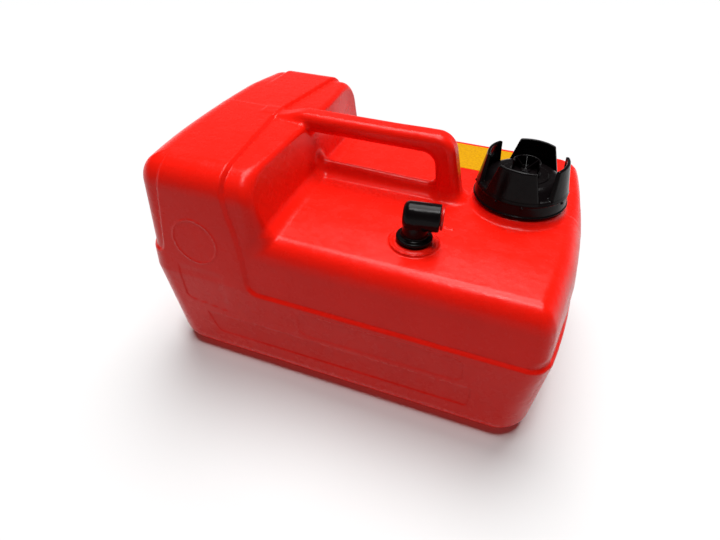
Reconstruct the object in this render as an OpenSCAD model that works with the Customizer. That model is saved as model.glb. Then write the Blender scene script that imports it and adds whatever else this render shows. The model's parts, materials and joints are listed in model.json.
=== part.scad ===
// Portable outboard fuel tank: a blow-moulded red tank with a handle in one
// piece with it, a screw cap with four lugs over a vent, and a pickup elbow
// with its tube and strainer. Millimetres, +Z up, standing on z = 0.
// X runs along the tank towards the filler cap, Y runs across it.

/* [Tank body] */
// Length of the body at the crease line
tank_l = 400; // [380:1:420]
// Width of the body at the crease line
tank_w = 277; // [265:1:290]
// Height of the crease line that runs round the body
crease_z = 108; // [98:1:115]
// Height of the flat deck
deck_z = 166; // [160:1:172]
// Height of the high block at the end away from the cap
block_z = 222; // [216:1:224]
// Wall thickness of the blow-moulded shell
wall = 3.5; // [2.5:0.1:4]
// Radius of the vertical corners at the crease line
corner_r = 25; // [21:1:32]
// How far the middle of each end stands out from its corners
end_bow = 7; // [4:1:10]
// Radius of the bottom edge
bottom_r = 21; // [16:1:26]
// How far the lower walls lean in at the bottom
bottom_draft = 8.5; // [5:0.5:11]
// Width of the ledge at the crease line
ledge = 3.2; // [2:0.2:4]
// How far the upper walls lean in at the deck
deck_draft = 10.8; // [8:0.2:13]
// Radius of the deck's edge
deck_r = 6; // [4:1:9]
// Edge of the high block's top towards the deck
block_x = -78; // [-84:1:-72]
// Foot of the slope from the high block down to the deck, at the near side
slope_foot_x = -62; // [-67:1:-58]
// The same foot at the far side, where the slope is steeper
slope_back_x = -75; // [-77:1:-68]
// Line where the high block steps down to its lower strip
step_x = -100; // [-106:1:-94]
// The same line where it meets the crease
step_foot_x = -86; // [-92:1:-82]
// How far the walls of the high block lean in at its top
block_draft = 5.5; // [3:0.5:8]
// Radius of the high block's top edge
block_r = 20; // [16:1:24]

/* [Handle] */
// Top of the handle
handle_z = 228; // [226:1:232]
// Width of the handle
handle_w = 24; // [20:1:28]
// Thickness of the handle's grip
grip_t = 19; // [16:1:22]
// Middle of the handle across the tank
handle_y = 4; // [0:1:8]
// Left end of the hand opening
window_x0 = -66; // [-70:1:-60]
// Right end of the hand opening
window_x1 = 52; // [46:1:56]
// Height of the ridge under the hand opening, above the deck
ridge_h = 10; // [6:1:13]
// Width of that ridge
ridge_w = 10; // [6:1:14]
// Outer edge of the handle's leg at its foot
leg_x = 79; // [74:1:80]
// How far the leg leans in at its top
leg_lean = 11; // [6:1:14]
// Corner radius of the hand opening
window_r = 10; // [6:1:12]

/* [Filler neck and cap] */
// Filler axis along the tank
neck_x = 131.5; // [126:0.5:136]
// Filler axis across the tank
neck_y = 15; // [10:1:18]
// Height of the moulded boss under the cap
boss_h = 6; // [4:1:8]
// Radius of the boss at its top
boss_r = 44; // [42:1:46]
// Height of the neck above the boss
neck_h = 11; // [10:1:12]
// Outer radius of the neck
neck_r = 29; // [28:0.5:30]
// Radius of the filler opening
neck_bore_r = 25; // [22:0.5:25.5]
// Pitch of the cap's thread
thread_pitch = 5; // [4.6:0.2:5.4]
// Height of the thread ridges
thread_d = 1.8; // [1.4:0.1:2]
// Radial clearance between cap thread and neck
thread_gap = 0.5; // [0.4:0.1:0.7]
// Outer radius of the cap at its lower edge
cap_r = 42.7; // [41:0.1:44]
// Radius of the cap's crown half-way up its slope
crown_r = 34; // [33:0.5:35]
// Height of the cap's shoulder above the neck's top
shoulder_h = 7; // [6.6:0.2:8]
// Height of the crown above the shoulder
crown_h = 8; // [7:0.5:9]
// Height of the four lugs above the shoulder
lug_h = 26; // [22:0.5:28]
// Width of a lug at its foot
lug_foot_w = 47; // [40:1:50]
// Width of a lug at its top
lug_top_w = 33; // [26:1:38]
// Thickness of a lug
lug_t = 4; // [3:0.2:4.6]
// How far the lugs are turned from the tank's axes, in degrees
lug_turn = -9.5; // [-15:0.5:15]
// Wall thickness of the cap
cap_t = 3; // [2.4:0.1:3.4]
// Thickness of the gasket
gasket_t = 1.8; // [1.4:0.1:2.2]
// Outer radius of the vent cover in the middle of the crown
vent_r = 21.7; // [20:0.1:23]
// Outer radius of the guard that stands on the vent cover
guard_r = 12.3; // [11:0.1:13]
// Height of the guard above the crown
guard_h = 12; // [9:0.5:14]
// Travel of the vent valve
vent_travel = 2.5; // [1.5:0.1:3]

/* [Pickup] */
// Pickup axis along the tank
pickup_x = 57; // [50:1:62]
// Distance of the pickup axis from the near side of the tank
pickup_inset = 56; // [52:0.5:60]
// Radius of the moulded pad under the elbow
pad_r = 21; // [19:0.5:23]
// Height of that pad
pad_h = 2; // [1:0.5:3.5]
// Radius of the elbow's round base
base_r = 15.8; // [15:0.1:17]
// Height of that base
base_h = 4.5; // [3.5:0.5:6]
// Radius of the elbow's stem
stem_r = 12.4; // [11.5:0.1:13]
// Radial running clearance of the stem in the tank
stem_gap = 0.08; // [0.03:0.01:0.1]
// Radius of the elbow's barrel
barrel_r = 11.8; // [11:0.1:12.5]
// How far the elbow's barrel is turned from the tank's length, in degrees
elbow_turn = 9; // [-30:1:30]
// Height of the barrel's axis above the pad
barrel_rise = 24.5; // [23:0.5:27]
// Length of the barrel from the pickup axis to its mouth
barrel_out = 20; // [18:0.5:24]
// Length of the barrel behind the pickup axis
barrel_back = 11; // [10:0.5:13]
// Radius of the outlet's bore
outlet_r = 6; // [5:0.1:6.5]
// Depth of the outlet's bore
outlet_l = 13; // [11:0.5:14]
// Outer radius of the pickup tube
tube_r = 4.8; // [4.2:0.1:5]
// Bore radius of the pickup tube
tube_bore_r = 3.4; // [2.8:0.1:3.6]
// Radius of the check ball
ball_r = 3.6; // [3.3:0.1:3.8]
// Travel of the check ball
ball_travel = 3; // [2:0.5:3.5]
// Radius of the strainer
strainer_r = 9; // [8:0.5:11]
// Length of the strainer
strainer_l = 28; // [22:1:36]
// Clearance of the strainer above the tank's floor
strainer_rise = 3; // [2:0.5:6]

/* [Label] */
// Left edge of the plain label on the deck
label_x0 = 42; // [38:1:50]
// Right edge of the label
label_x1 = 114; // [104:1:114]
// Bare deck between the foot of the cap's boss and the label's near corner
label_gap = 1.1; // [0.5:0.1:8]
// Thickness of the label
label_t = 0.4; // [0.3:0.1:0.6]

/* [Hidden] */

red = "#e8230f";
black = "#1a181a";
rubber = "#26262a";
steel = "#b8bcc2";
brass = "#c9a553";
natural = "#e4e2d6";
yellow = "#f4b90f";

$fn = 64;
ring_seg = 6;       // steps in each rounded corner of a body outline
eps = 0.01;
seat_gap = 0.3;     // between pieces that move past each other
snap_gap = 0.1;     // between pieces that are snapped together

// ---- helpers ---------------------------------------------------------

// Points of an arc round c from angle a0 to a1 in n steps
function arc(c, r, a0, a1, n) =
    [for (k = [0:n]) let (a = a0 + (a1 - a0)*k/n) c + r*[cos(a), sin(a)]];

// Outline of the body seen from above: straight sides, rounded corners, and
// ends that bow out to a shallow point. A right end with no bow is straight, and
// skew moves its far side.
function body_outline(x0, x1, w, r, bow, skew) = concat(
    [[x1 + skew/2, 0]],
    bow > 0 ? arc([x1 - bow - r, w/2 - r], r, 0, 90, ring_seg) : [[x1 + skew, w/2]],
    arc([x0 + end_bow + r, w/2 - r], r, 90, 180, ring_seg),
    [[x0, 0]],
    arc([x0 + end_bow + r, -w/2 + r], r, 180, 270, ring_seg),
    bow > 0 ? arc([x1 - bow - r, -w/2 + r], r, 270, 360, ring_seg) : [[x1, -w/2]]);

// A thin slice of the body from x0 to x1 at height z, set in by d all round.
// bow and skew are for the right end; the left end always bows out.
module slice(z, d, x0, x1, bow, skew = 0)
    translate([0, 0, z])
        linear_extrude(eps)
            polygon(body_outline(x0 + d, x1 - d, tank_w - 2*d, max(corner_r - d, 4), bow, skew));

// Closed solid through rings of points, each ring with the same count
module ring_solid(rings) {
    m = len(rings[0]);
    n = len(rings);
    pts = [for (ring = rings) for (p = ring) p];
    side = [for (i = [0:n - 2]) for (j = [0:m - 1])
        let (a = i*m + j, b = i*m + (j + 1)%m)
        each [[a, a + m, b], [b, a + m, b + m]]];
    foot = [for (j = [1:m - 2]) [0, j, j + 1]];
    head = [for (j = [1:m - 2]) [(n - 1)*m, (n - 1)*m + j + 1, (n - 1)*m + j]];
    polyhedron(pts, concat(side, foot, head));
}

// A helical thread ridge from radius r0 (in the wall) to crest radius r1
module thread_ridge(r0, r1, z0, pitch, turns, width, phase) {
    steps = ceil(turns*24);
    root = width/2;
    tip = width/4;
    rings = [for (k = [0:steps])
        let (a = phase + 360*turns*k/steps, z = z0 + pitch*turns*k/steps,
             c = cos(a), s = sin(a))
        [[r0*c, r0*s, z - root], [r0*c, r0*s, z + root],
         [r1*c, r1*s, z + tip], [r1*c, r1*s, z - tip]]];
    if (r1 > r0) ring_solid(rings);
    else ring_solid([for (ring = rings) [ring[3], ring[2], ring[1], ring[0]]]);
}

// A coil spring of round wire, standing on z0
module coil_spring(r, wire_r, z0, height, turns) {
    per_turn = 14;
    steps = turns*per_turn;
    rise = height - 2*wire_r;
    rings = [for (k = [0:steps])
        let (a = 360*k/per_turn, z = z0 + wire_r + rise*k/steps)
        [for (j = [0:5]) let (b = 60*j, q = r + wire_r*cos(b))
            [q*cos(a), q*sin(a), z + wire_r*sin(b)]]];
    ring_solid([for (ring = rings) [for (j = [5:-1:0]) ring[j]]]);
}

module tube(ro, ri, z0, z1)
    translate([0, 0, z0])
        difference() {
            cylinder(r = ro, h = z1 - z0);
            translate([0, 0, -1]) cylinder(r = ri, h = z1 - z0 + 2);
        }

module disc(r, z0, z1)
    translate([0, 0, z0]) cylinder(r = r, h = z1 - z0);

module at_neck() translate([neck_x, neck_y, 0]) children();
module at_pickup() translate([pickup_x, pickup_y, 0]) children();

// ---- tank ------------------------------------------------------------

half_l = tank_l/2;
boss_z = deck_z + boss_h;
neck_top = boss_z + neck_h;
pad_z = deck_z + pad_h;
deck_in = ledge + deck_draft;       // inset of the deck's edge from the crease
bore_r = stem_r + stem_gap;         // hole for the pickup stem
socket_t = 4.5;                     // wall round that hole
socket_z = deck_z - 8;              // lower end of the socket
slope_skew = slope_back_x - slope_foot_x;
pickup_y = -tank_w/2 + pickup_inset;
boss_flare = 6;                     // how much wider the boss is at its foot
ring_w = 5;                         // width of the shallow ring round the pad
ring_d = 1.2;                       // depth of that ring

// Body below the crease; d sets it in for the inside of the wall
module lower_body(d) {
    r = bottom_r - d;
    hull() {
        for (a = [0:22.5:90]) {
            z = d + r*(1 - cos(a));
            body_slice(z, d + r*(1 - sin(a)) + bottom_draft*(1 - z/crease_z));
        }
        body_slice(crease_z - eps - d, d);
    }
}

// Body between the crease and the deck, starting at height z0
module upper_body(d, z0)
    hull() {
        body_slice(z0, ledge + d);
        for (a = [0:30:90])
            body_slice(deck_z - d - eps - deck_r*(1 - sin(a)), deck_in + d + deck_r*(1 - cos(a)));
    }

// A slice of the whole length of the body
module body_slice(z, d)
    slice(z, d, -half_l, half_l, end_bow);

// High block with its edge towards the deck at x1 at the top and x2 at the
// foot, where skew moves its far side; d lowers it and sets it in
module block_body(d, x1, x2, z0, skew = 0)
    hull() {
        slice(z0, d, -half_l, x2 + d, 0, skew);
        for (a = [0:22.5:90]) {
            z = block_z - d - eps - block_r*(1 - sin(a));
            in = d + block_draft + block_r*(1 - cos(a));
            up = (z - deck_z)/(block_z - deck_z);
            slice(z, in, -half_l, x2 + (x1 - x2)*up + in, 0, skew*(1 - up));
        }
        slice(deck_z, d + block_draft/2, -half_l, x2 + d + block_draft/2, 0, skew);
    }

// Side view of the handle, grown by d (negative shrinks it), down to foot_z
handle_r = 16;      // radius of the handle's outer corner
function handle_points(d, foot_z) = concat(
    [[step_x - d, foot_z], [step_x - d, block_z - ledge + d], [block_x, handle_z + d]],
    arc([leg_x - leg_lean - handle_r, handle_z - handle_r], handle_r + d, 90, 10, 6),
    [[leg_x + d, foot_z]]);
window_z0 = deck_z + ridge_h;
window_z1 = handle_z - grip_t;
function window_points(d) = concat(
    arc([window_x1 - window_r, window_z1 - window_r], window_r + d, 0, 90, 5),
    arc([window_x0 + window_r, window_z1 - window_r], window_r + d, 90, 180, 5),
    arc([window_x0 + window_r, window_z0 + window_r], window_r + d, 180, 270, 5),
    arc([window_x1 - window_r, window_z0 + window_r], window_r + d, 270, 360, 5));

// Extrudes a side view w wide about the middle of the handle
module across_handle(w)
    translate([0, handle_y + w/2, 0])
        rotate([90, 0, 0])
            linear_extrude(w) children();

// One layer of the handle, w wide and set in by d at its edges
module handle_layer(w, d)
    across_handle(w)
        difference() {
            polygon(handle_points(-d, deck_z - wall/2));
            polygon(window_points(d));
        }

module handle() {
    edge = handle_w/6;
    difference() {
        union() {
            handle_layer(handle_w, edge);
            handle_layer(handle_w - edge, edge*0.35);
            handle_layer(handle_w - 2*edge, 0);
        }
        ridge_sides();
    }
}

// Trims the web under the hand opening down to the ridge's width
module ridge_sides()
    for (y = [ridge_w/2, -ridge_w/2 - handle_w])
        translate([window_x0 + window_r, handle_y + y, deck_z])
            cube([window_x1 - window_x0 - 2*window_r, handle_w, ridge_h + eps]);

// Hollow inside the handle, open to the tank at both of its ends
module handle_hollow()
    across_handle(handle_w - 2*wall)
        difference() {
            polygon(handle_points(-wall, deck_z - wall*1.5));
            polygon(window_points(wall));
            translate([window_x0 - wall, deck_z - wall*2])
                square([window_x1 - window_x0 + wall*2, ridge_h + window_r]);
        }

module tank_shell() color(red)
    difference() {
        union() {
            difference() {
                union() {
                    lower_body(0);
                    upper_body(0, crease_z - 1);
                    block_body(ledge, block_x, slope_foot_x, crease_z - 1, slope_skew);
                    block_body(0, step_x, step_foot_x, crease_z - 1);
                    handle();
                    at_neck() translate([0, 0, deck_z])
                        cylinder(r1 = boss_r + boss_flare, r2 = boss_r, h = boss_h);
                }
                lower_body(wall);
                upper_body(wall, crease_z - wall - 1);
                block_body(wall + ledge, block_x - wall, slope_foot_x - wall,
                    crease_z - wall*2, slope_skew);
                handle_hollow();
                at_neck() disc(boss_r - wall*2, deck_z - wall*2, boss_z - wall);
            }
            at_neck() {
                disc(neck_r, boss_z - wall, neck_top);
                thread_ridge(neck_r - thread_root, neck_r + thread_d, neck_thread_z,
                    thread_pitch, 1.1, thread_w, 0);
            }
            at_pickup() {
                disc(pad_r, deck_z - wall, pad_z);
                disc(bore_r + socket_t, socket_z, deck_z);
            }
        }
        at_neck() disc(neck_bore_r, deck_z - wall*3, neck_top + 1);
        at_pickup() disc(bore_r, socket_z - 1, pad_z + 1);
        at_pickup() tube(pad_r + ring_w, pad_r, deck_z - ring_d, pad_z + 1);
    }

// Flat plate on the deck, from beside the boss to the start of the deck's rounded edge
label_y0 = neck_y + sqrt(pow(boss_r + boss_flare + label_gap, 2) - pow(neck_x - label_x1, 2));
label_y1 = tank_w/2 - deck_in - deck_r;
module label_strip() color(yellow)
    translate([label_x0, label_y0, deck_z])
        cube([label_x1 - label_x0, label_y1 - label_y0, label_t]);

// ---- cap -------------------------------------------------------------

thread_w = 2;                                   // width of a thread ridge
thread_root = 0.6;                              // how far its root is sunk in the wall
neck_thread_z = boss_z + 2.6;                   // start of the neck's ridge
cap_z0 = boss_z + 2.4;                          // lower edge of the cap
crown_slope = 3;                                // half of what the crown narrows by
gasket_z = neck_top + seat_gap/3;
roof_z = gasket_z + gasket_t + eps;             // underside of the core's roof
roof_t = 2.3;
core_z1 = roof_z + roof_t;                      // top of the core
shoulder_z = neck_top + shoulder_h;
crown_z = shoulder_z + crown_h;
lug_z = shoulder_z + lug_h;
core_bore_r = neck_r + thread_d + thread_gap;   // thread root in the core
skirt_lean = 1.7;                               // how far the skirt leans in at its top
shoulder_r = cap_r - skirt_lean;
shell_bore_r = shoulder_r - cap_t;
core_r = shell_bore_r - seat_gap;
shoulder_t = shoulder_z - core_z1 - snap_gap;   // thickness of the shoulder
ring_t = 1.7;                                   // height of the retaining ring
ring_z = cap_z0 + seat_gap;                     // underside of that ring
core_z0 = ring_z + ring_t + snap_gap;           // lower edge of the core
core_thread_z = core_z0 + 1.2;                  // start of the core's ridge
core_phase = 360*(core_thread_z - neck_thread_z)/thread_pitch + 180; // half a pitch away
vent_body_r = 12;
vent_neck_r = vent_body_r - 3;                  // hole in the core for the vent housing
vent_bore_r = 7.2;
vent_hole_r = 3.2;

// One lug: a curved plate, wide at its foot, that leans in with the cap
module lug()
    intersection() {
        difference() {
            translate([0, 0, shoulder_z - shoulder_t/2])
                cylinder(r1 = shoulder_r, r2 = shoulder_r - lug_t*1.2,
                    h = lug_h + shoulder_t/2);
            translate([0, 0, shoulder_z - 2])
                cylinder(r1 = shoulder_r - lug_t, r2 = shoulder_r - lug_t*2.2,
                    h = lug_h + 3);
        }
        rotate([90, 0, 90])
            linear_extrude(cap_r)
                polygon([[-lug_foot_w/2, shoulder_z - shoulder_t/2],
                    [lug_foot_w/2, shoulder_z - shoulder_t/2],
                    [lug_top_w/2, lug_z + 1], [-lug_top_w/2, lug_z + 1]]);
    }

module cap_shell() color(black)
    at_neck()
        difference() {
            union() {
                translate([0, 0, cap_z0])
                    cylinder(r1 = cap_r, r2 = shoulder_r, h = shoulder_z - cap_z0);
                translate([0, 0, shoulder_z - eps])
                    cylinder(r1 = crown_r + crown_slope, r2 = crown_r - crown_slope,
                        h = crown_h + eps);
                for (k = [0:3]) rotate(lug_turn + 90*k) lug();
            }
            disc(shell_bore_r, cap_z0 - 1, shoulder_z - shoulder_t);
            disc(crown_r - cap_t, shoulder_z - shoulder_t - 1, crown_z - cap_t);
            disc(vent_r + snap_gap, crown_z - cap_t - 1, crown_z + 1);
        }

module cap_core() color(black)
    at_neck() {
        difference() {
            union() {
                disc(core_r, core_z0, core_z1);
                disc(crown_r - cap_t - snap_gap, core_z1 - eps, core_z1 + snap_gap);
            }
            disc(core_bore_r, core_z0 - 1, roof_z);
            disc(vent_neck_r, roof_z - 1, core_z1 + 1);
        }
        thread_ridge(core_bore_r + thread_root, neck_r + thread_gap, core_thread_z,
            thread_pitch, 1, thread_w, core_phase);
    }

module cap_gasket() color(rubber)
    at_neck() tube(neck_r, neck_bore_r + 0.5, gasket_z, gasket_z + gasket_t);

// Snapped into the lower edge of the shell, it carries the core
module cap_retaining_ring() color(black)
    at_neck() tube(shell_bore_r, core_bore_r + 1, ring_z, ring_z + ring_t);

// Spring ring with ramped teeth that lets the shell click over the core
ratchet_r = crown_r - cap_t - seat_gap*2;
ratchet_w = 5;
ratchet_t = 2;
tooth_w = 6;
tooth_h = 2.4;
module ratchet_ring() color(natural)
    at_neck() {
        z = core_z1 + snap_gap;
        tube(ratchet_r, ratchet_r - ratchet_w, z, z + ratchet_t);
        for (k = [0:11])
            rotate(30*k)
                translate([ratchet_r - ratchet_w + 1, 0, z + ratchet_t])
                    rotate([90, 0, 90])
                        linear_extrude(ratchet_w - 2)
                            polygon([[0, -snap_gap], [tooth_w, -snap_gap], [tooth_w, tooth_h]]);
    }

// Valve housing that snaps into the middle of the core
vent_z0 = core_z1 - roof_t;
vent_top = shoulder_z + 8.5;        // top of the housing
seat_z = vent_z0 + 1.6;             // face in the housing that the seal lies on
seal_t = 1;
poppet_z = seat_z + seal_t;
poppet_t = 1.8;                     // thickness of the poppet's head
poppet_stem_r = 2.2;
module vent_body() color(natural)
    at_neck()
        difference() {
            union() {
                disc(vent_neck_r - snap_gap/2, vent_z0, core_z1 + 1);
                disc(vent_body_r, core_z1 + snap_gap, vent_top);
            }
            disc(vent_bore_r, seat_z, vent_top + 1);
            disc(vent_hole_r, vent_z0 - 1, vent_top);
        }

module vent_seal() color(rubber)
    at_neck() tube(vent_bore_r - seat_gap*2, vent_hole_r + snap_gap, seat_z + eps, poppet_z - eps);

// Its stem meets the vent cover at the end of the valve's travel
module vent_poppet() color(natural)
    at_neck() {
        disc(vent_bore_r - seat_gap*2, poppet_z, poppet_z + poppet_t);
        disc(poppet_stem_r, poppet_z + poppet_t - 1, vent_floor - vent_travel - seat_gap);
        for (k = [0:3]) rotate(90*k)
            translate([-0.5, 0, vent_z0 + 0.6]) cube([1, vent_hole_r - seat_gap*2, seat_z - vent_z0 + 1]);
    }

vent_spring_z = poppet_z + poppet_t + eps;
vent_spring_r = 4.2;
module vent_spring() color(steel)
    at_neck()
        coil_spring(vent_spring_r, 0.45, vent_spring_z, vent_floor - vent_spring_z - eps, 4);

// Cover over the vent: a ring, a raised lid over the housing, and on the lid a
// guard that is open towards the near side, with three gussets
vent_floor = vent_top + snap_gap;   // underside of the lid
lid_t = 1.6;
lid_z = vent_floor + lid_t;
lid_r = vent_body_r + seat_gap;     // inside of the wall that carries the lid
cover_t = 1.6;                      // thickness of that wall and of the ring's floor
guard_t = 1.5;
guard_gap = 3.6;                    // the guard ends this far on the near side
hub_r = 4.6;
rib_t = 1.2;
module vent_cover() color(black)
    at_neck() {
        tube(vent_r, vent_r - 2.2, core_z1 + snap_gap*2, crown_z);
        tube(vent_r - 1, lid_r + cover_t/2, crown_z - cover_t, crown_z);
        tube(lid_r + cover_t, lid_r, crown_z - cover_t*1.5, vent_floor + lid_t/2);
        difference() {
            disc(lid_r + cover_t, vent_floor, lid_z);
            for (k = [0:4]) rotate(72*k)
                translate([vent_bore_r, 0, vent_floor - 1]) cylinder(r = 1.2, h = lid_t + 2);
        }
        difference() {
            tube(guard_r, guard_r - guard_t, lid_z - lid_t/2, crown_z + guard_h);
            translate([-guard_r - 1, -guard_r - guard_gap, lid_z - lid_t])
                cube([guard_r*2 + 2, guard_r, guard_h + lid_t]);
        }
        disc(hub_r, lid_z - lid_t/2, lid_z + lid_t);
        for (a = [36, 97, 152]) rotate(a)
            translate([0, rib_t/2, lid_z - lid_t/2])
                rotate([90, 0, 0])
                    linear_extrude(rib_t)
                        polygon([[hub_r - 1, 0], [guard_r - guard_t/2, 0],
                            [guard_r - guard_t/2, guard_h*0.7], [hub_r - 1, guard_h*0.3]]);
    }

// ---- pickup ----------------------------------------------------------

base_z0 = pad_z + seat_gap;                     // underside of the elbow's base
base_z1 = base_z0 + base_h;
barrel_z = pad_z + barrel_rise;
stem_z = socket_z - 4;                          // lower end of the elbow's stem
chamber_r = ball_r + 0.9;
tube_top = deck_z + 1;
check_seat_t = 2.5;
check_hole_r = ball_r*0.72;
ball_seat_z = tube_top + check_seat_t;
ball_z = ball_seat_z + sqrt(pow(ball_r + eps*5, 2) - pow(check_hole_r, 2));
ball_spring_l = 2.4;                            // least length of its spring
chamber_z1 = ball_z + ball_r + ball_travel + ball_spring_l;
groove_r = stem_r - 2.35;
o_ring_r = (stem_r + bore_r)/2 - groove_r;      // twice the ring's section radius
o_ring_z = deck_z - 2;
clip_groove_r = stem_r - 1.6;
insert_r = outlet_r + 2;
passage_r = 2.8;                                // passage above the check chamber
barrel_bevel = 3;

module along_barrel() translate([0, 0, barrel_z]) rotate([0, 90, elbow_turn]) children();

module pickup_elbow() color(black)
    at_pickup()
        difference() {
            union() {
                disc(base_r, base_z0, base_z1);
                disc(stem_r, stem_z, base_z0 + 1);
                disc(barrel_r - 0.8, base_z1 - 1, barrel_z);
                along_barrel() {
                    translate([0, 0, -barrel_back + barrel_bevel])
                        cylinder(r = barrel_r, h = barrel_out + barrel_back - barrel_bevel);
                    translate([0, 0, -barrel_back])
                        cylinder(r1 = barrel_r - barrel_bevel, r2 = barrel_r, h = barrel_bevel);
                }
            }
            disc(tube_r + snap_gap/2, stem_z - 1, tube_top);
            disc(chamber_r, tube_top - eps, chamber_z1);
            disc(passage_r, chamber_z1 - eps, barrel_z);
            along_barrel() {
                cylinder(r = outlet_r - 2, h = barrel_out + 1);
                translate([0, 0, barrel_out - outlet_l])
                    cylinder(r = insert_r + snap_gap/5, h = outlet_l + 1);
            }
            tube(stem_r + 1, groove_r, o_ring_z - o_ring_r/2 - snap_gap, o_ring_z + o_ring_r/2 + snap_gap);
            tube(stem_r + 1, clip_groove_r, clip_z - snap_gap/2, clip_z + clip_t + snap_gap/2);
        }

module pickup_o_ring() color(rubber)
    at_pickup() translate([0, 0, o_ring_z])
        rotate_extrude() translate([groove_r + o_ring_r/2, 0]) circle(r = o_ring_r/2 - eps);

// Ring that snaps round the stem under the socket and holds the elbow in
clip_t = 1.6;
clip_split = 5;
clip_z = socket_z - seat_gap - clip_t;
module pickup_clip() color(steel)
    at_pickup()
        difference() {
            tube(bore_r + 3, clip_groove_r + snap_gap/2, clip_z, clip_z + clip_t);
            translate([0, -clip_split/2, clip_z - 1]) cube([bore_r + 5, clip_split, clip_t + 2]);
        }

module outlet_insert() color(brass)
    at_pickup() along_barrel()
        tube(insert_r, outlet_r, barrel_out - outlet_l, barrel_out);

// Push-in plug that closes the outlet when no line is fitted
plug_l = 8;
plug_head_r = 9.6;
plug_head_t = 2.4;
module outlet_plug() color(red)
    at_pickup() along_barrel() {
        disc(outlet_r - snap_gap, barrel_out - plug_l, barrel_out + 1);
        disc(plug_head_r, barrel_out + seat_gap, barrel_out + plug_head_t);
    }

module check_seat() color(brass)
    at_pickup()
        difference() {
            tube(chamber_r - snap_gap/10, check_hole_r, tube_top, ball_seat_z);
            translate([0, 0, tube_top - 1])
                cylinder(r = tube_bore_r - 0.4, h = check_seat_t - 0.7);
        }

module check_ball() color(steel)
    at_pickup() translate([0, 0, ball_z]) sphere(r = ball_r);

ball_spring_r = ball_r*0.62;
ball_wire_r = 0.35;
ball_spring_z = ball_z + sqrt(ball_r*ball_r - pow(ball_spring_r - ball_wire_r, 2)) + eps*5;
module check_spring() color(steel)
    at_pickup()
        coil_spring(ball_spring_r, ball_wire_r, ball_spring_z, chamber_z1 - ball_spring_z - eps, 4);

strainer_z = wall + strainer_rise;              // underside of the strainer
strainer_top = strainer_z + strainer_l;
foot_t = 2.5;
collar_l = 6;                                   // length of the collar on the tube
cage_t = 1.6;
bar_w = 2;                                      // width of the cage's bars
mesh_t = 0.5;
module pickup_tube() color(natural)
    at_pickup() tube(tube_r, tube_bore_r, strainer_top - collar_l, tube_top);

module strainer_frame() color(natural)
    at_pickup() {
        tube(strainer_r, tube_r + snap_gap/2, strainer_top - collar_l, strainer_top);
        tube(strainer_r, strainer_r - cage_t, strainer_z + foot_t, strainer_z + foot_t*2);
        for (k = [0:5]) rotate(60*k)
            translate([strainer_r - cage_t, -bar_w/2, strainer_z + foot_t + 1])
                cube([cage_t - snap_gap, bar_w, strainer_l - foot_t - collar_l]);
    }

module strainer_mesh() color(steel)
    at_pickup()
        tube(strainer_r - cage_t - eps, strainer_r - cage_t - mesh_t, strainer_z + foot_t,
            strainer_top - collar_l);

module strainer_foot() color(natural)
    at_pickup() {
        disc(strainer_r, strainer_z, strainer_z + foot_t);
        disc(strainer_r - cage_t - mesh_t - snap_gap, strainer_z + foot_t - eps, strainer_z + foot_t + 2);
    }

tank_shell();
label_strip();
cap_shell();
cap_core();
cap_gasket();
cap_retaining_ring();
ratchet_ring();
vent_body();
vent_cover();
vent_poppet();
vent_seal();
vent_spring();
pickup_elbow();
pickup_o_ring();
pickup_clip();
outlet_insert();
outlet_plug();
check_seat();
check_ball();
check_spring();
pickup_tube();
strainer_frame();
strainer_mesh();
strainer_foot();
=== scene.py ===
import json
import math

import bpy
import numpy as np
from mathutils import Matrix, Vector

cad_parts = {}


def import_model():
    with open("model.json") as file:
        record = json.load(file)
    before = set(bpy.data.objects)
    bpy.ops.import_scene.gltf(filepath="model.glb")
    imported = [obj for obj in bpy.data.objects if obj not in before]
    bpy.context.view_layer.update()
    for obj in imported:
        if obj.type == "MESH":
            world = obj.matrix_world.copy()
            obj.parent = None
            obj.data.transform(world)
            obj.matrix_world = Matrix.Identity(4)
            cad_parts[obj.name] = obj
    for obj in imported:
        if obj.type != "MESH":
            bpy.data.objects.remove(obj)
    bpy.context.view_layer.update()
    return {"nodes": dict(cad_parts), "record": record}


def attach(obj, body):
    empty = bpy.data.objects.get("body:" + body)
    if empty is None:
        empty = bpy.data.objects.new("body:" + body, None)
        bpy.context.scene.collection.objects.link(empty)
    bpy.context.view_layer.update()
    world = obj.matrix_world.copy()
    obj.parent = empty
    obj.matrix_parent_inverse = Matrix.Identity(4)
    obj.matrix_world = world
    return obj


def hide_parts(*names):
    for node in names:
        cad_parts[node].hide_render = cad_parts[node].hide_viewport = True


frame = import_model()
NODES = frame["nodes"]
MM = 0.001

# ---------------------------------------------------------------- materials


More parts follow.
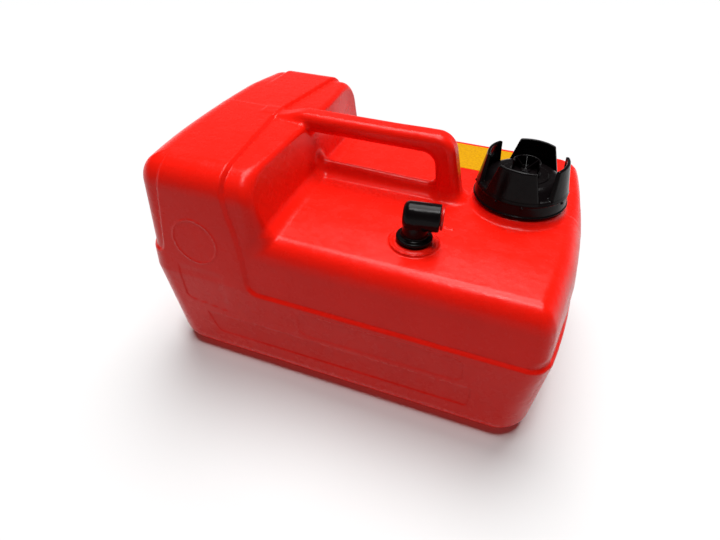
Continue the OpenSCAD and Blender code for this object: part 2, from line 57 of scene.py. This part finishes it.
class Nodes:
    """A node material in a few calls."""

    def __init__(self, name):
        self.mat = bpy.data.materials.new(name)
        self.mat.use_nodes = True
        self.tree = self.mat.node_tree
        self.bsdf = self.tree.nodes["Principled BSDF"]
        self.out = self.tree.nodes["Material Output"]

    def add(self, kind, **settings):
        node = self.tree.nodes.new(kind)
        for key, value in settings.items():
            if key in node.inputs:
                node.inputs[key].default_value = value
            else:
                setattr(node, key, value)
        return node

    def link(self, a, b):
        self.tree.links.new(a, b)

    def noise(self, scale, detail=3.0, rough=0.5, stretch=None):
        coord = self.add("ShaderNodeTexCoord")
        tex = self.add("ShaderNodeTexNoise", Scale=scale, Detail=detail, Roughness=rough)
        if stretch:
            mapping = self.add("ShaderNodeMapping")
            mapping.inputs["Scale"].default_value = stretch
            self.link(coord.outputs["Object"], mapping.inputs["Vector"])
            self.link(mapping.outputs["Vector"], tex.inputs["Vector"])
        else:
            self.link(coord.outputs["Object"], tex.inputs["Vector"])
        return tex.outputs["Fac"]

    def ramp(self, value, stops):
        """stops: (position, colour) pairs; a number stands for a grey."""
        node = self.add("ShaderNodeValToRGB")
        elements = node.color_ramp.elements
        while len(elements) < len(stops):
            elements.new(0.5)
        for element, (place, colour) in zip(elements, stops):
            element.position = place
            is_grey = not hasattr(colour, "__len__")
            element.color = (colour,) * 3 + (1,) if is_grey else (*colour, 1)
        self.link(value, node.inputs["Fac"])
        return node.outputs["Color"]

    def bump(self, *layers):
        """layers: (height output, distance in metres) pairs, stacked."""
        normal = None
        for height, distance in layers:
            node = self.add("ShaderNodeBump", Strength=1.0, Distance=distance)
            self.link(height, node.inputs["Height"])
            if normal is not None:
                self.link(normal, node.inputs["Normal"])
            normal = node.outputs["Normal"]
        self.link(normal, self.bsdf.inputs["Normal"])


def srgb(r, g, b):
    """Linear colour of a screen colour given as 0 to 255."""
    return tuple(((c / 255 + 0.055) / 1.055) ** 2.4 if c > 10 else c / 255 / 12.92
                 for c in (r, g, b))


def mix(a, b, t):
    """Colour t of the way from a to b."""
    return tuple(x + (y - x) * t for x, y in zip(a, b))


def plastic(name, colour, vary, rough, grain, grain_scale, sss=0.0, shine=0.5):
    """Moulded plastic: a slow drift of colour, an uneven sheen and a fine skin.

    vary darkens the drift, grain is the skin's depth in metres, sss lets light
    into the surface and shine is the level of its mirror reflection.
    """
    m = Nodes(name)
    drift = m.noise(22, 4)
    tint = m.ramp(drift, [(0.3, mix(colour, (0, 0, 0), vary)), (0.72, colour)])
    m.link(tint, m.bsdf.inputs["Base Color"])
    sheen = m.ramp(m.noise(60, 5, 0.6), [(0.3, rough - 0.05), (0.7, rough + 0.06)])
    m.link(sheen, m.bsdf.inputs["Roughness"])
    m.bump((m.noise(grain_scale, 3, 0.6), grain), (m.noise(grain_scale / 9, 3), grain * 4))
    if sss:
        m.bsdf.inputs["Subsurface Weight"].default_value = sss
        m.bsdf.inputs["Subsurface Radius"].default_value = (1.0, 0.15, 0.08)
        m.bsdf.inputs["Subsurface Scale"].default_value = 0.004
    m.bsdf.inputs["IOR"].default_value = 1.5
    m.bsdf.inputs["Specular IOR Level"].default_value = shine
    return m.mat


def metal(name, colour, rough, stretch):
    """Drawn or turned metal, with fine lines across the axis of the largest stretch."""
    m = Nodes(name)
    lines = m.noise(900, 3, 0.5, stretch)
    m.link(m.ramp(lines, [(0.3, mix(colour, (0, 0, 0), 0.18)), (0.7, colour)]),
           m.bsdf.inputs["Base Color"])
    m.link(m.ramp(lines, [(0.3, rough - 0.06), (0.7, rough + 0.08)]), m.bsdf.inputs["Roughness"])
    m.bsdf.inputs["Metallic"].default_value = 1.0
    m.bump((lines, 0.00002))
    return m.mat


RED = plastic("red_hdpe", srgb(238, 25, 12), 0.06, 0.26, 0.00006, 1500, shine=0.15)
RED_PLUG = plastic("red_plug", srgb(190, 18, 12), 0.08, 0.3, 0.00004, 1800, shine=0.4)
BLACK = plastic("black_plastic", srgb(14, 10, 11), 0.25, 0.19, 0.00005, 1400, shine=0.09)
NATURAL = plastic("natural_plastic", srgb(178, 175, 160), 0.05, 0.42, 0.00004, 1500, sss=0.2)
RUBBER = plastic("rubber", srgb(38, 38, 41), 0.25, 0.62, 0.00008, 1200)
STEEL = metal("spring_steel", (0.62, 0.63, 0.65), 0.28, (1, 1, 6))
BRASS = metal("brass", (0.72, 0.5, 0.2), 0.3, (6, 1, 1))


def label_film():
    """Plain printed film: an even yellow with a faint weave and a dull sheen."""
    m = Nodes("yellow_film")
    speck = m.noise(420, 4, 0.7)
    m.link(m.ramp(speck, [(0.35, srgb(182, 126, 4)), (0.6, srgb(204, 150, 5))]),
           m.bsdf.inputs["Base Color"])
    m.link(m.ramp(m.noise(70, 4), [(0.3, 0.3), (0.7, 0.42)]), m.bsdf.inputs["Roughness"])
    m.bump((m.noise(900, 2), 0.00003))
    m.bsdf.inputs["Specular IOR Level"].default_value = 0.05
    return m.mat


YELLOW = label_film()
BY_SLOT = {"red_hdpe": RED, "red_plug": RED_PLUG, "black_plastic": BLACK,
           "natural_plastic": NATURAL, "rubber": RUBBER, "spring_steel": STEEL,
           "brass": BRASS, "yellow_film": YELLOW}
SLOT_OF = {s["node"]: s["material_slot"] for s in frame["record"]["subparts"]}
BODY_OF = {n: b for b, ns in frame["record"]["behaviour"]["bodies"].items() for n in ns}


def dress(obj, node, material=None):
    """Puts a new piece in the place of a CAD node."""
    obj.data.materials.clear()
    obj.data.materials.append(material or BY_SLOT[SLOT_OF[node]])
    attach(obj, BODY_OF[node])
    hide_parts(node)
    return obj


def new_object(name, mesh):
    obj = bpy.data.objects.new(name, mesh)
    bpy.context.scene.collection.objects.link(obj)
    return obj


# ---------------------------------------------------------------- tank

# In mm, as all the fields: the box, the heights of the crease, the deck and the
# block, the rounding of the upright corners and of the foot, and the fittings.
LENGTH, WIDTH, CREASE, DECK, BLOCK = 400, 277, 108, 166, 222
CORNER, FOOT_ROUND = 23, 23
HANDLE_Y, HANDLE_W, HANDLE_Z = 4, 24, 228
NECK = (131.5, 15)
NECK_R, NECK_BORE, NECK_TOP = 29, 25, 183
BOSS_R, BOSS_TOP = 41.5, 172.6
PICKUP = (57, -82.5)
PAD_R, RING_R, HOLE_R = 21.5, 19.6, 13.4
BARREL_Z = 192.5
ELBOW_TURN = math.radians(9)


def smooth(t):
    """0 to 1 with soft ends."""
    t = np.clip(t, 0, 1)
    return t * t * (3 - 2 * t)


def step(t):
    """0 to 1: a soft edge where it leaves the proud face, a tighter corner at its foot."""
    t = np.clip(t, 0, 1)
    return t * t * (1.6 - 0.6 * t)


def round_max(a, b, r):
    """Intersection of two fields, with its edge rounded to r."""
    return (np.minimum(np.maximum(a, b), -r)
            + np.hypot(np.maximum(a + r, 0), np.maximum(b + r, 0)))


def round_min(a, b, r):
    """Union of two fields, with its corner filled to r."""
    return -round_max(-a, -b, r)


def walls(x, y, z, inset):
    """Distance to the body's upright walls, set in by inset.

    The end walls bow out, the one by the cap leans in higher up, and the corners
    widen downwards and towards the far side.
    """
    bow = 10 * np.minimum(np.abs(y) / 127, 1) ** 2.4
    lean = np.where(x > 0, 0.09 * np.clip(z - CREASE - 25, 0, 33), 0)
    ax = np.abs(x) + bow + lean
    corner = (CORNER + 15 * np.maximum(1 - z / CREASE, 0) + 8 * smooth(y / 80) - 4 * (x > 0)
              - 5 * smooth((z - CREASE) / 12) * ((x > 0) & (y < 0)))
    r = np.maximum(corner - inset, 12)
    qx = ax - (LENGTH / 2 - inset) + r
    qy = np.abs(y) - (WIDTH / 2 - inset) + r
    return (np.hypot(np.maximum(qx, 0), np.maximum(qy, 0))
            + np.minimum(np.maximum(qx, qy), 0) - r)


def crease_x(y, z):
    """The line at which the block steps down to the strip beside the deck."""
    line = np.interp(z, [119, 140, 166, 186, 205, 222],
                     [-84, -86, -90, -95.5, -99.5, -100.4])
    across = np.clip(1 - (np.abs(y - HANDLE_Y) - 11.6) / 109, 0, 1)
    return line - 14.3 * across


def recess(x, y, z):
    """How far the wall above the crease is set in, from 0 (proud) to 1.

    Given for the side towards the deck and for the strip at the block's end.
    """
    right = round_max(crease_x(y, z) - x, CREASE - 4.5 - z, 14)
    left = round_max(x + 162.8 - 0.114 * (z - 160), CREASE + 20 - z, 9)
    return step(-right / 3.4), 0.7 * step(-left / 3.2)


def front_relief(x, z):
    """Height of what is moulded in the front face: a proud ring, three sunk panels."""
    ring = np.exp(-((np.hypot(x + 130.3, z - 150.5) - 22.3) / 0.9) ** 2) * 0.65
    corner = round_max(-154.3 - x, 76.5 - 0.13 * (x + 154) - z, 7)
    small = smooth(-corner / 1.3) * smooth((-104 - x) / 8) * smooth((122 - z) / 8) * 0.8
    lower = round_max(round_max(-135.5 + (62.7 - z) * 0.33 - x, x - 133.2, 7), 34.6 - z, 6)
    long = smooth(-lower / 1.6) * smooth((65 - z) / 5) * 1.25
    upper = round_max(round_max(-32.4 - x, x - 123.5, 9),
                      round_max(68.6 - z, z - 99, 9), 9)
    mid = smooth(-upper / 1.3) * 0.8
    return ring - small - long - mid


def tank_field(x, y, z):
    """Below 0 inside the tank, in mm; every moulded form is part of it."""
    right, left = recess(x, y, z)
    low = np.where(z < CREASE, 8.5 * (1 - z / CREASE), 0)
    high = np.maximum(z - CREASE, 0)
    fade = 1 - 0.5 * smooth((x - 168) / 16) * smooth((y + 85) / 40)
    inset = low + 3.2 * (np.maximum(right, left) * fade)

    # block: its walls and top, then the slope down to the deck
    sunk = 3.2 * right * (x > -150)
    lid = z - BLOCK + sunk + 3 * left * smooth((y - 60) / 50)
    block = round_max(walls(x, y, z, inset + 5.5 * high / (BLOCK - CREASE)), lid, 25)
    block = round_max(block, -z, FOOT_ROUND)
    rise = np.clip((z - DECK) / (BLOCK - DECK), 0, 1)
    across = np.clip((y + 138) / WIDTH, 0, 1)
    block = round_max(block, (x + 62 + 16 * rise + 9 * across * (1 - rise)
                              + 3 * smooth((y - 50) / 60)) * 0.962,
                      5 + 5 * smooth((np.abs(y) - 88) / 36)
                      + 10 * smooth((-88 - y) / 36) * smooth((192 - z) / 40))

    # deck: rounder towards the near side, where it drops a little
    near = smooth((60 - y) / 60)
    deck = z - DECK + 3 * smooth((-70 - y) / 70) * smooth((x + 90) / 60)
    upper = round_max(walls(x, y, z, inset + (7 - 3.5 * near) * high / (DECK - CREASE)),
                      deck * (1 - 0.28 * near), 7 + 9 * near)
    upper = round_max(upper, -z, FOOT_ROUND)
    f = round_min(block, upper, 0.01 + 10 * smooth((z - 140) / 26) * smooth((x + 84) / 24))

    # handle: a rounded bar that runs out of the block and turns down to the deck
    top = (BLOCK - 2.5 + (HANDLE_Z - BLOCK + 1.9) * smooth((x + 116) / 36)
           + 0.6 * smooth((x - 5) / 40))
    outer = round_max(z - top, (x - 66.5 + (z - 224) * 13.5 / 58) * 0.975, 15)
    hand = round_max(z - 209, (x - 50.2 - (205 - z) * 0.14) * 0.99, 11)
    bar = round_max(round_max(outer, -hand, 1), np.abs(y - HANDLE_Y) - HANDLE_W / 2, 8)
    bar = np.maximum(bar, -(x + 125))
    f = round_min(f, bar, 5 + 2.5 * smooth((x - 20) / 20))
    ridge = round_max(np.abs(y - HANDLE_Y) - 5, z - 176 - 2 * smooth((40 - x) / 90), 4.8)
    f = round_min(f, np.maximum(ridge, np.abs(x + 6) - 66), 11)

    # boss under the cap, and the threaded neck
    nx = x - NECK[0]
    ny = (y - NECK[1]) / np.where(y < NECK[1], 1.04, 1.0)
    boss = round_max(np.hypot(nx, ny) - BOSS_R, z - BOSS_TOP, 1.2)
    f = round_min(f, boss, 6)
    rn = np.hypot(nx, y - NECK[1])
    f = round_min(f, round_max(rn - NECK_R, z - NECK_TOP, 1), 1.5)
    f = np.maximum(f, -np.maximum(rn - NECK_BORE, 120 - z))

    # pad and ring round the elbow, its hole, and the short rib beside it
    rp = np.hypot(x - PICKUP[0], y - PICKUP[1])
    f = round_min(f, round_max(rp - PAD_R, np.abs(z - 160) - 7.7, 1.4), 1.0)
    f = f + np.exp(-((rp - RING_R) / 1.3) ** 2) * smooth((z - 158) / 4)
    f = np.maximum(f, -np.maximum(rp - HOLE_R, 150 - z))
    t = np.clip((x - 73.5) / 11.5, 0, 1)
    rib = np.sqrt((x - 73.5 - 11.5 * t) ** 2 + (y + 51 + 1.9 * t) ** 2 + (z - 166.2) ** 2) - 0.8
    f = round_min(f, rib, 0.5)

    # moulded relief, and the mould's parting seam over the ends
    f = f - front_relief(x, z) * smooth((-118 - y) / 6)
    seam = np.exp(-((y - 10) / 0.5) ** 2) * 0.28 * smooth((190 - z + np.abs(x) * 0.3) / 20)
    return f - seam * (np.abs(x) > 20)


def surface_net(field, low, high, h):
    """Vertices (mm) and quads of a field's zero surface, from a grid of step h."""
    axes = [np.arange(a, b + h, h, dtype=np.float32) for a, b in zip(low, high)]
    nx, ny, nz = (len(a) for a in axes)
    grid = np.empty((nx, ny, nz), np.float32)
    for i in range(0, nx, 8):
        gx, gy, gz = np.meshgrid(axes[0][i:i + 8], axes[1], axes[2], indexing="ij")
        grid[i:i + 8] = field(gx, gy, gz)
    inside = grid < 0
    full = sum(inside[a:nx - 1 + a, b:ny - 1 + b, c:nz - 1 + c].astype(np.int8)
               for a in (0, 1) for b in (0, 1) for c in (0, 1))
    cells = np.argwhere((full > 0) & (full < 8))
    index = np.full((nx - 1, ny - 1, nz - 1), -1, np.int32)
    index[tuple(cells.T)] = np.arange(len(cells))
    points = np.zeros((len(cells), 3), np.float64)
    hits = np.zeros(len(cells))
    for axis in range(3):
        others = [k for k in range(3) if k != axis]
        for a in (0, 1):
            for b in (0, 1):
                start = np.zeros(3, int)
                start[others[0]], start[others[1]] = a, b
                end = start.copy()
                end[axis] = 1
                v0 = grid[tuple((cells + start).T)]
                v1 = grid[tuple((cells + end).T)]
                cross = (v0 < 0) != (v1 < 0)
                t = np.where(cross, v0 / np.where(cross, v0 - v1, 1), 0)
                place = cells + start + np.eye(3)[axis] * t[:, None]
                points += np.where(cross[:, None], place, 0)
                hits += cross
    points = points / hits[:, None] * h + np.array([a[0] for a in axes])
    quads = []
    for axis in range(3):
        u, v = (axis + 1) % 3, (axis + 2) % 3
        shape = [nx, ny, nz]
        a = [slice(1, s - 1) for s in shape]
        b = list(a)
        a[axis], b[axis] = slice(0, shape[axis] - 1), slice(1, shape[axis])
        s0, s1 = inside[tuple(a)], inside[tuple(b)]
        where = np.argwhere(s0 != s1)
        flip = s1[tuple(where.T)]
        base = where + 1
        base[:, axis] -= 1
        du, dv = np.eye(3, dtype=int)[u], np.eye(3, dtype=int)[v]
        ring = [index[tuple((base - s * du - t * dv).T)]
                for s, t in ((1, 1), (0, 1), (0, 0), (1, 0))]
        quad = np.stack(ring, 1)
        quad[flip] = quad[flip][:, ::-1]
        quads.append(quad)
    return points, np.concatenate(quads)


def gradient(field, p, e=0.05):
    """Slope of a field at the points p, from differences over e mm."""
    out = np.empty_like(p)
    for k in range(3):
        d = np.zeros(3)
        d[k] = e
        a, b = p + d, p - d
        out[:, k] = (field(*a.T) - field(*b.T)) / (2 * e)
    return out


def onto(field, p, rounds=3, most=0.5):
    """Newton steps of the points p onto the zero surface, each at most most mm."""
    for _ in range(rounds):
        g = gradient(field, p)
        move = field(*p.T) / np.maximum((g * g).sum(1), 0.2)
        p = p - np.clip(move, -most, most)[:, None] * g
    return p


def moulded(name, node, field, low, high, h, most=0, floor=None):
    """A piece meshed from a field at step h, with the field's own normals.

    most is the largest number of triangles, and floor the lowest z allowed.
    """
    points, quads = surface_net(field, low, high, h)
    points = onto(field, points, most=h / 3)
    mesh = bpy.data.meshes.new(name)
    mesh.vertices.add(len(points))
    mesh.vertices.foreach_set("co", (points * MM).astype(np.float32).ravel())
    mesh.loops.add(quads.size)
    mesh.loops.foreach_set("vertex_index", quads.astype(np.int32).ravel())
    mesh.polygons.add(len(quads))
    mesh.polygons.foreach_set("loop_start", np.arange(0, quads.size, 4, dtype=np.int32))
    mesh.update(calc_edges=True)
    mesh.validate()
    obj = new_object(name, mesh)
    if most and 2 * len(quads) > most:
        thin = obj.modifiers.new("thin", "DECIMATE")
        thin.ratio = most / (2 * len(quads))
        bpy.context.view_layer.update()
        mesh = bpy.data.meshes.new_from_object(
            obj.evaluated_get(bpy.context.evaluated_depsgraph_get()))
        obj.modifiers.clear()
        obj.data = mesh
        mesh.name = name
    co = np.empty(len(mesh.vertices) * 3, np.float32)
    mesh.vertices.foreach_get("co", co)
    p = onto(field, co.reshape(-1, 3).astype(np.float64) / MM, 2, h / 3)
    if floor is not None:
        p[:, 2] = np.maximum(p[:, 2], floor)
    mesh.vertices.foreach_set("co", (p * MM).astype(np.float32).ravel())
    mesh.update()
    mesh.polygons.foreach_set("use_smooth", np.ones(len(mesh.polygons), bool))
    n = gradient(field, p)
    n /= np.maximum(np.linalg.norm(n, axis=1), 1e-9)[:, None]
    mesh.normals_split_custom_set_from_vertices(n.tolist())
    print(name, len(mesh.vertices), "vertices", len(mesh.polygons), "faces")
    return dress(obj, node)


TANK_STEP = 1.5
moulded("tank_body", "tank_shell", tank_field, (-204, -142, -4), (204, 142, 231),
        TANK_STEP, most=190000, floor=0)

# ---------------------------------------------------------------- cap

CAP_LOW, SHOULDER, CROWN, LUG_TOP = 174.4, 190, 198, 216
LUG_TURN = math.radians(-9.5)
GUSSETS = (36, 97, 152)


def ring_wall(r, outer, inner):
    """A tube's wall between two radii."""
    return np.maximum(r - outer, inner - r)


def cap_field(x, y, z):
    """Skirt, crown and four lugs, each a curved plate with rounded edges."""
    u, v = x - NECK[0], y - NECK[1]
    r = np.hypot(u, v)
    up = z - SHOULDER
    side = 42.6 - 0.105 * (z - CAP_LOW)
    middle, half_high = 0.5 * (CAP_LOW + SHOULDER), 0.5 * (SHOULDER - CAP_LOW)
    skirt = round_max(r - side, np.abs(z - middle) - half_high, 1.3)
    skirt = round_min(skirt, np.hypot(r - side - 0.1, z - CAP_LOW - 1.6) - 0.8, 0.6)
    crown = round_max((r - 38) * 0.684 + (z - 190.5) * 0.729, z - CROWN, 2.5)
    f = round_min(skirt, np.maximum(crown, 187 - z), 1.2)
    a = np.arctan2(v, u) - LUG_TURN
    a = np.mod(a + math.pi / 4, math.pi / 2) - math.pi / 4
    outer = 41 - 0.19 * np.maximum(up, -2)
    thick = 3.7 - 0.03 * np.maximum(up, 0)
    plate = round_max(r - outer, outer - thick - r, 0.9)
    half_wide = 23.8 - 0.29 * np.maximum(up, -2)
    lug = round_max(plate, np.abs(r * np.sin(a)) - half_wide, 1.1)
    lug = round_max(lug, z - LUG_TOP + 0.0022 * (r * np.sin(a)) ** 2, 1.2)
    lug = np.maximum(lug, 187 - z)
    f = round_min(f, lug, 0.9)
    # a pip at each lower corner of a lug
    pip = np.sqrt((r - 41.6) ** 2 + (r * (np.abs(a) - 0.285)) ** 2 + (z - 184.9) ** 2) - 1.35
    f = round_min(f, pip, 0.3)
    # hollow for the core, the crown's inside, and the hole for the vent cover
    f = np.maximum(f, -np.maximum(r - 38, z - 187.3))
    f = np.maximum(f, -round_max(r - 31, z - 195.3, 1))
    return np.maximum(f, 21.9 - r)


def vent_field(x, y, z):
    """Cover in the middle of the crown: a plate, a guard open to one side, three gussets."""
    u, v = x - NECK[0], y - NECK[1]
    r = np.hypot(u, v)
    f = round_max(r - 21.6, np.abs(z - 197.2) - 1.3, 0.7)
    f = np.maximum(f, 12.4 - r)
    f = round_min(f, np.maximum(ring_wall(r, 21.6, 19.5), np.abs(z - 193) - 5), 0.5)
    f = round_min(f, np.maximum(ring_wall(r, 13.8, 12.35), np.abs(z - 198) - 2), 0.4)
    f = round_min(f, round_max(r - 13.8, np.abs(z - 199.75) - 0.9, 0.7), 0.4)
    guard = round_max(ring_wall(r, 12.3, 10.8), z - 210.4, 0.6)
    guard = round_max(guard, -v - 3.6, 0.6)
    guard = np.maximum(guard, 199.5 - z)
    f = round_min(f, guard, 0.5)
    for angle in GUSSETS:
        c, d = math.cos(math.radians(angle)), math.sin(math.radians(angle))
        along, across = u * c + v * d, -u * d + v * c
        fin = round_max(np.abs(across) - 0.6, round_max(along - 11.5, -along, 0.3), 0.3)
        fin = np.maximum(round_max(fin, (z - 202 - 0.7 * along) * 0.82, 0.4), 199.5 - z)
        f = round_min(f, fin, 0.4)
    return round_min(f, round_max(r - 4.6, np.abs(z - 200.8) - 1.2, 0.5), 0.4)


def along_barrel(x, y):
    """Distance along and across the elbow's barrel from the pickup's axis."""
    u, v = x - PICKUP[0], y - PICKUP[1]
    c, d = math.cos(ELBOW_TURN), math.sin(ELBOW_TURN)
    return u * c + v * d, v * c - u * d


def elbow_field(x, y, z):
    """Flange, stem and cross barrel with a rounded blind end and an open mouth."""
    u, v = along_barrel(x, y)
    w = z - BARREL_Z
    r, b = np.hypot(u, v), np.hypot(v, w)
    flange = round_max(r - 15.8, np.abs(z - 171.2) - 1.9, 1.5)
    lower = round_max(r - 14.4, np.abs(z - 170) - 1.5, 0.4)
    f = round_min(flange, lower, 0.4)
    f = round_min(f, round_max(r - 10.9, np.abs(z - 181) - 11, 0.5), 2.2)
    barrel = round_max(b - 11.8, -u - 11, 5.5)
    barrel = round_max(barrel, u - 20, 1.0)
    f = round_min(f, barrel, 1.6)
    lug = round_max(np.abs(u - 15.5) - 3.2, np.abs(v) - 1.6, 0.5)
    lug = round_max(lug, np.abs(w + 12.2) - 1.6, 0.5)
    f = round_min(f, lug, 0.4)
    f = round_min(f, round_max(r - 12.4, np.abs(z - 162) - 8, 0.4), 0.4)
    f = np.maximum(f, -np.maximum(b - 8.02, 7 - u))
    return np.maximum(f, -np.maximum(r - 4.85, z - 158))


def plug_field(x, y, z):
    """Transport plug: a dished head on a short shank."""
    u, v = along_barrel(x, y)
    b = np.hypot(v, z - BARREL_Z)
    head = round_max(b - 9.6 - 0.4 * smooth((u - 20) / 3), np.abs(u - 21.6) - 1.2, 0.7)
    head = round_max(head, -round_max(b - 6.8, 22.1 - u, 0.5), 0.4)
    return round_min(head, round_max(b - 5.7, np.abs(u - 17) - 5, 0.6), 0.4)


FINE = 0.6
moulded("cap_outer", "cap_shell", cap_field, (87, -30, 172), (176, 60, 219),
        FINE, most=90000)
moulded("cap_vent_cover", "vent_cover", vent_field, (108, -9, 186), (155, 39, 213),
        FINE * 0.7, most=60000)
moulded("elbow", "pickup_elbow", elbow_field, (40, -102, 152), (82, -62, 206),
        FINE * 0.7, most=60000)
moulded("elbow_plug", "outlet_plug", plug_field, (66, -94, 181), (82, -66, 204),
        FINE * 0.6, most=24000)


def build_label():
    """Thin film with rounded corners and a softly turned edge."""
    x0, x1, y0, y1, top, r = 42.0, 114.0, 63.1, 118.5, DECK + 0.4, 4.0
    rings = []
    for inset, z in ((0.0, DECK - 0.05), (0.0, top - 0.12), (0.12, top)):
        ring = []
        for cx, cy, a0 in ((x1 - r, y1 - r, 0), (x0 + r, y1 - r, 90),
                           (x0 + r, y0 + r, 180), (x1 - r, y0 + r, 270)):
            for k in range(9):
                a = math.radians(a0 + 90 * k / 8)
                ring.append((cx + (r - inset) * math.cos(a),
                             cy + (r - inset) * math.sin(a), z))
        rings.append(ring)
    n = len(rings[0])
    points = [[c * MM for c in p] for ring in rings for p in ring]
    faces = [(i * n + j, i * n + (j + 1) % n, (i + 1) * n + (j + 1) % n, (i + 1) * n + j)
             for i in range(2) for j in range(n)]
    faces += [tuple(range(2 * n, 3 * n)), tuple(range(n - 1, -1, -1))]
    mesh = bpy.data.meshes.new("label")
    mesh.from_pydata(points, [], faces)
    mesh.update()
    dress(new_object("label", mesh), "label_strip")


build_label()

# ---------------------------------------------------------------- carried-over CAD nodes

for name, node in NODES.items():
    if node.hide_render:
        continue
    node.data.materials.clear()
    node.data.materials.append(BY_SLOT[SLOT_OF[name]])

# ---------------------------------------------------------------- stage, light, camera

FLOOR_SIZE = 12
PICTURE_WIDTH, FOCAL_PIXELS, SENSOR_WIDTH = 720, 525.5, 36


def path_mix(tree, seen, unseen, target):
    """seen for camera, glossy and transmission rays, unseen for the rest."""
    path = tree.nodes.new("ShaderNodeLightPath")
    total = path.outputs["Is Camera Ray"]
    for name in ("Is Glossy Ray", "Is Transmission Ray"):
        either = tree.nodes.new("ShaderNodeMath")
        either.operation = "MAXIMUM"
        tree.links.new(total, either.inputs[0])
        tree.links.new(path.outputs[name], either.inputs[1])
        total = either.outputs[0]
    blend = tree.nodes.new("ShaderNodeMixShader")
    tree.links.new(total, blend.inputs[0])
    tree.links.new(unseen, blend.inputs[1])
    tree.links.new(seen, blend.inputs[2])
    tree.links.new(blend.outputs[0], target)


def stage():
    """Plain pale floor, which sends an even light to what stands on it."""
    bpy.ops.mesh.primitive_plane_add(size=FLOOR_SIZE, location=(0, 0, 0))
    floor = bpy.context.object
    floor.name = "floor"
    m = Nodes("floor")
    m.bsdf.inputs["Base Color"].default_value = (0.62, 0.62, 0.62, 1)
    m.bsdf.inputs["Roughness"].default_value = 0.9
    m.bsdf.inputs["Specular IOR Level"].default_value = 0.1
    dim = m.add("ShaderNodeEmission", Color=(1, 1, 1, 1), Strength=0.62)
    path_mix(m.tree, m.bsdf.outputs[0], dim.outputs[0], m.out.inputs["Surface"])
    floor.data.materials.append(m.mat)


def world():
    """Pale round the horizon and darker overhead; a low even level for diffuse light."""
    w = bpy.data.worlds.new("studio")
    bpy.context.scene.world = w
    w.use_nodes = True
    tree = w.node_tree
    back = tree.nodes["Background"]
    coord = tree.nodes.new("ShaderNodeTexCoord")
    split = tree.nodes.new("ShaderNodeSeparateXYZ")
    tree.links.new(coord.outputs["Generated"], split.inputs[0])
    ramp = tree.nodes.new("ShaderNodeValToRGB")
    stops = ramp.color_ramp.elements
    stops[0].position, stops[0].color = 0.1, (0.4, 0.4, 0.4, 1)
    stops[1].position, stops[1].color = 0.55, (0.03, 0.03, 0.03, 1)
    tree.links.new(split.outputs["Z"], ramp.inputs[0])
    tree.links.new(ramp.outputs[0], back.inputs["Color"])
    dim = tree.nodes.new("ShaderNodeBackground")
    dim.inputs["Color"].default_value = (1, 1, 1, 1)
    dim.inputs["Strength"].default_value = 0.06
    path_mix(tree, back.outputs[0], dim.outputs[0], tree.nodes["World Output"].inputs[0])


def sun(name, toward, angle, strength):
    """A broad distant light from the direction toward, angle degrees across."""
    data = bpy.data.lights.new(name, "SUN")
    data.angle = math.radians(angle)
    data.energy = strength
    obj = bpy.data.objects.new(name, data)
    bpy.context.scene.collection.objects.link(obj)
    obj.rotation_euler = Vector(toward).to_track_quat("Z", "Y").to_euler()


def camera():
    """The view from which the object was photographed."""
    eye = Vector((0.1393, -0.44054, 0.43211))
    look = Vector((0.00032, -0.06022, 0.1))
    roll = 0.02
    forward = (look - eye).normalized()
    right = forward.cross(Vector((0, 0, 1))).normalized()
    up = right.cross(forward)
    across = right * math.cos(roll) + up * math.sin(roll)
    upward = up * math.cos(roll) - right * math.sin(roll)
    data = bpy.data.cameras.new("camera")
    data.sensor_width = SENSOR_WIDTH
    data.lens = SENSOR_WIDTH * FOCAL_PIXELS / PICTURE_WIDTH
    data.clip_start = 0.01
    obj = bpy.data.objects.new("camera", data)
    bpy.context.scene.collection.objects.link(obj)
    obj.matrix_world = Matrix((
        (across.x, upward.x, -forward.x, eye.x),
        (across.y, upward.y, -forward.y, eye.y),
        (across.z, upward.z, -forward.z, eye.z),
        (0, 0, 0, 1)))
    bpy.context.scene.camera = obj


stage()
world()
sun("key", (-0.07, 0.35, 0.935), 40, 3.6)
sun("top", (0.03, -0.14, 0.99), 14, 1.6)
camera()
bpy.context.scene.view_settings.view_transform = "Standard"
